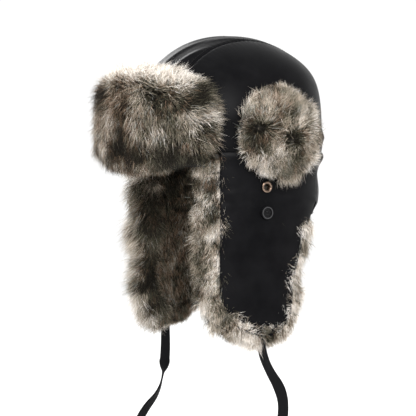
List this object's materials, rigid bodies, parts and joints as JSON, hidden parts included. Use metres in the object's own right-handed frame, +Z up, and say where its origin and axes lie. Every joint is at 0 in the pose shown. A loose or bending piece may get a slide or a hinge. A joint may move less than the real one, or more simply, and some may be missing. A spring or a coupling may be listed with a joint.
{
  "type": "trapper hat",
  "caption": "Winter cap with a rounded cloth crown, turned-up fur visor, fur-lined fold-up ear flaps with ties, and fur covers over the ear vents.",
  "frame": {"origin": "centre of the head opening, at the height of the seam between the crown and the side bands", "axes": "+Z up through the crown, -Y out through the visor, +X towards the wearer's left"},
  "size_m": [0.252, 0.2881, 0.6369],
  "materials": {
    "waxed_cloth": "smooth black proofed cloth with a soft sheen",
    "faux_fur": "deep pile, dark olive brown at the root and cream at the tips",
    "wadding": "bonded polyester wadding",
    "quilted_lining": "black satin, diamond quilted",
    "sweatband_cloth": "black twill tape",
    "backing_cloth": "plain black woven cloth",
    "stiff_board": "flexible white board",
    "elastic": "ribbed woven elastic",
    "brass": "polished, rose tinted",
    "button_plastic": "polished black resin",
    "sewing_thread": "black polyester thread",
    "tie_cloth": "flat black woven tie"
  },
  "bodies": {
    "hat_body": {"crown_centre_strip": "waxed_cloth", "crown_lining": "quilted_lining", "crown_side_batting_left": "wadding", "crown_side_batting_right": "wadding", "crown_side_panel_left": "waxed_cloth", "crown_side_panel_right": "waxed_cloth", "crown_strip_batting": "wadding", "ear_vent_eyelet_left": "brass", "ear_vent_eyelet_right": "brass", "eyelet_washer_left": "brass", "eyelet_washer_right": "brass", "neck_batting": "wadding", "neck_fur_lining": "faux_fur", "neck_panel": "waxed_cloth", "rear_elastic": "elastic", "rear_elastic_tape": "backing_cloth", "side_band_batting_left": "wadding", "side_band_batting_right": "wadding", "side_band_fur_left": "faux_fur", "side_band_fur_right": "faux_fur", "side_band_fur_trim_left": "faux_fur", "side_band_fur_trim_right": "faux_fur", "side_band_left": "waxed_cloth", "side_band_right": "waxed_cloth", "sweatband": "sweatband_cloth"},
    "visor": {"visor_backing": "backing_cloth", "visor_board": "stiff_board", "visor_fur": "faux_fur"},
    "ear_flap_left": {"button_thread_left": "sewing_thread", "chin_tie_left": "tie_cloth", "ear_flap_batting_left": "wadding", "ear_flap_button_left": "button_plastic", "ear_flap_fur_lining_left": "faux_fur", "ear_flap_fur_trim_left": "faux_fur", "ear_flap_shell_left": "waxed_cloth"},
    "ear_cover_left": {"ear_cover_backing_left": "backing_cloth", "ear_cover_fur_left": "faux_fur"},
    "ear_flap_right": {"button_thread_right": "sewing_thread", "chin_tie_right": "tie_cloth", "ear_flap_batting_right": "wadding", "ear_flap_button_right": "button_plastic", "ear_flap_fur_lining_right": "faux_fur", "ear_flap_fur_trim_right": "faux_fur", "ear_flap_shell_right": "waxed_cloth"},
    "ear_cover_right": {"ear_cover_backing_right": "backing_cloth", "ear_cover_fur_right": "faux_fur"}
  },
  "joints": [
    {"name": "visor_fold", "type": "hinge", "parent": "hat_body", "child": "visor", "pos_m": [0, -0.123, -0.012], "axis": [1, 0, 0], "range_deg": [0, 100]},
    {"name": "ear_flap_left_fold", "type": "hinge", "parent": "hat_body", "child": "ear_flap_left", "pos_m": [0.1015, 0, -0.055], "axis": [0, -1, 0], "range_deg": [0, 150]},
    {"name": "ear_cover_left_lift", "type": "hinge", "parent": "hat_body", "child": "ear_cover_left", "pos_m": [0.098, -0.003, 0.077], "axis": [0, -1, 0], "range_deg": [0, 140]},
    {"name": "ear_flap_right_fold", "type": "hinge", "parent": "hat_body", "child": "ear_flap_right", "pos_m": [-0.1015, 0, -0.055], "axis": [0, 1, 0], "range_deg": [0, 150]},
    {"name": "ear_cover_right_lift", "type": "hinge", "parent": "hat_body", "child": "ear_cover_right", "pos_m": [-0.098, -0.003, 0.077], "axis": [0, 1, 0], "range_deg": [0, 140]}
  ]
}
